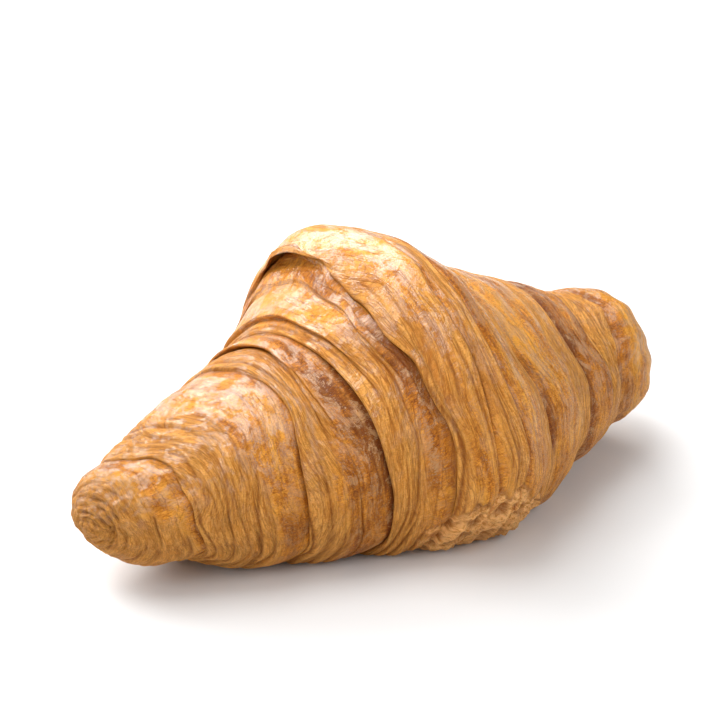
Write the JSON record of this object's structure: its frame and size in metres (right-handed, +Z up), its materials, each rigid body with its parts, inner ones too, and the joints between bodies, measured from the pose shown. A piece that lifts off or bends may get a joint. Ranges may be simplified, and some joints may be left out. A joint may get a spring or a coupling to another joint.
{
  "type": "croissant",
  "caption": "Straight baked croissant with stepped wraps, blunt ends, a lifted flap at the crown and a flat underside to rest on.",
  "frame": {"origin": "middle of the flat underside, on the surface it rests on", "axes": "+X along the roll towards the blunter end, -Y the side with the torn dough tail, +Z up"},
  "size_m": [0.156, 0.0978, 0.0699],
  "materials": {
    "crust": "egg-washed and baked, glossy golden brown on the skin, matte on the cut layers"
  },
  "bodies": {
    "root": {"croissant": "crust"}
  },
  "joints": []
}
